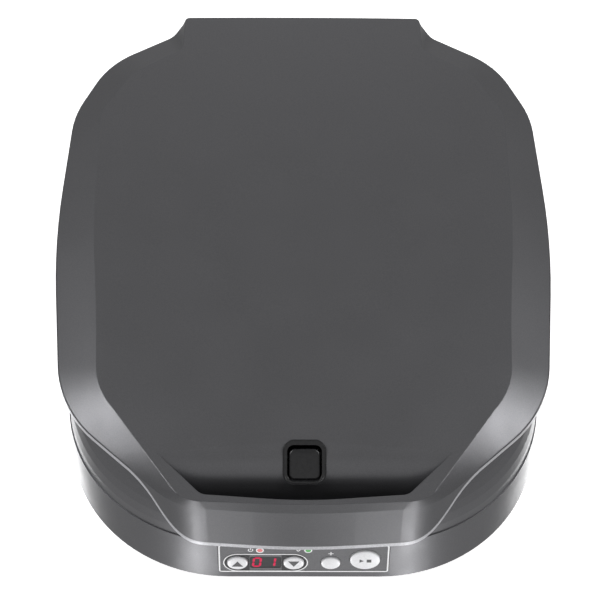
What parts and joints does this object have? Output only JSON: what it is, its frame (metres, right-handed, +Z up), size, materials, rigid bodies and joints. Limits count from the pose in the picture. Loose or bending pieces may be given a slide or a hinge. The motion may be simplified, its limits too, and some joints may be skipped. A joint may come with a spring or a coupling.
{
  "type": "pancake maker",
  "caption": "Closed countertop pancake maker with a low hinged lid, a wide front handle with a rocker latch, and a front panel with buttons, lamps and a small display.",
  "frame": {"origin": "on the table, under the middle of the bounding box", "axes": "+Z up, -Y towards the user at the handle and panel, +X to the right seen from the front"},
  "size_m": [0.3134, 0.3908, 0.0879],
  "materials": {
    "painted_shell": "satin dark grey metallic paint",
    "trim": "satin metallic paint, lighter",
    "inner_plastic": "fine matt",
    "nonstick": "dark non-stick coating",
    "steel": "brushed",
    "heater_tube": "heat-tinted",
    "rubber": "matt",
    "panel": "satin",
    "window": "gloss smoked",
    "lamp_red": "gloss",
    "lamp_green": "gloss",
    "button": "satin silver",
    "latch_black": "gloss",
    "circuit_board": "satin",
    "electrical_black": "satin",
    "electrical_white": "matt",
    "thermal_ceramic": "matt"
  },
  "bodies": {
    "base": {"base_lower_shell": "painted_shell", "base_upper_shell": "painted_shell", "case_screw_back_left": "steel", "case_screw_back_right": "steel", "case_screw_front_left": "steel", "case_screw_front_right": "steel", "control_board": "circuit_board", "control_panel": "panel", "cord_inlet": "rubber", "display_window": "window", "foot_back_left": "rubber", "foot_back_right": "rubber", "foot_front_left": "rubber", "foot_front_right": "rubber", "hinge_bracket_left": "steel", "hinge_bracket_right": "steel", "hinge_pin_left": "steel", "hinge_pin_right": "steel", "latch_catch": "steel", "led_power": "lamp_red", "led_ready": "lamp_green", "lower_cooking_plate": "nonstick", "lower_heater": "heater_tube", "lower_reflector": "steel", "power_board": "circuit_board", "relay": "electrical_black", "switch_down": "electrical_black", "switch_mode": "electrical_black", "switch_start": "electrical_black", "switch_up": "electrical_black", "terminal_block": "electrical_white", "thermal_fuse": "thermal_ceramic", "thermostat": "thermal_ceramic"},
    "lid": {"lid_shell": "painted_shell", "lid_trim": "trim", "lid_frame": "inner_plastic", "upper_cooking_plate": "nonstick", "upper_heater": "heater_tube", "upper_reflector": "steel", "hinge_arm_left": "steel", "hinge_arm_right": "steel", "latch_bezel": "latch_black", "latch_pin": "steel"},
    "latch": {"latch_key": "latch_black", "latch_hook": "latch_black"},
    "button_up": {"button_up": "button"},
    "button_down": {"button_down": "button"},
    "button_mode": {"button_mode": "button"},
    "button_start": {"button_start": "button"}
  },
  "joints": [
    {"name": "lid_hinge", "type": "hinge", "parent": "base", "child": "lid", "pos_m": [0, 0.168, 0.062], "axis": [-1, 0, 0], "range_deg": [0, 95]},
    {"name": "latch_rock", "type": "hinge", "parent": "lid", "child": "latch", "pos_m": [0, -0.15034, 0.06804], "axis": [-1, 0, 0], "range_deg": [0, 9]},
    {"name": "button_up_press", "type": "slide", "parent": "base", "child": "button_up", "axis": [0, 0.9929, -0.1191], "range_m": [0, 0.0008], "stiffness_N_per_m": 600},
    {"name": "button_down_press", "type": "slide", "parent": "base", "child": "button_down", "axis": [0, 0.9929, -0.1191], "range_m": [0, 0.0008], "stiffness_N_per_m": 600},
    {"name": "button_mode_press", "type": "slide", "parent": "base", "child": "button_mode", "axis": [0, 0.9929, -0.1191], "range_m": [0, 0.0008], "stiffness_N_per_m": 600},
    {"name": "button_start_press", "type": "slide", "parent": "base", "child": "button_start", "axis": [0, 0.9929, -0.1191], "range_m": [0, 0.0008], "stiffness_N_per_m": 600}
  ]
}
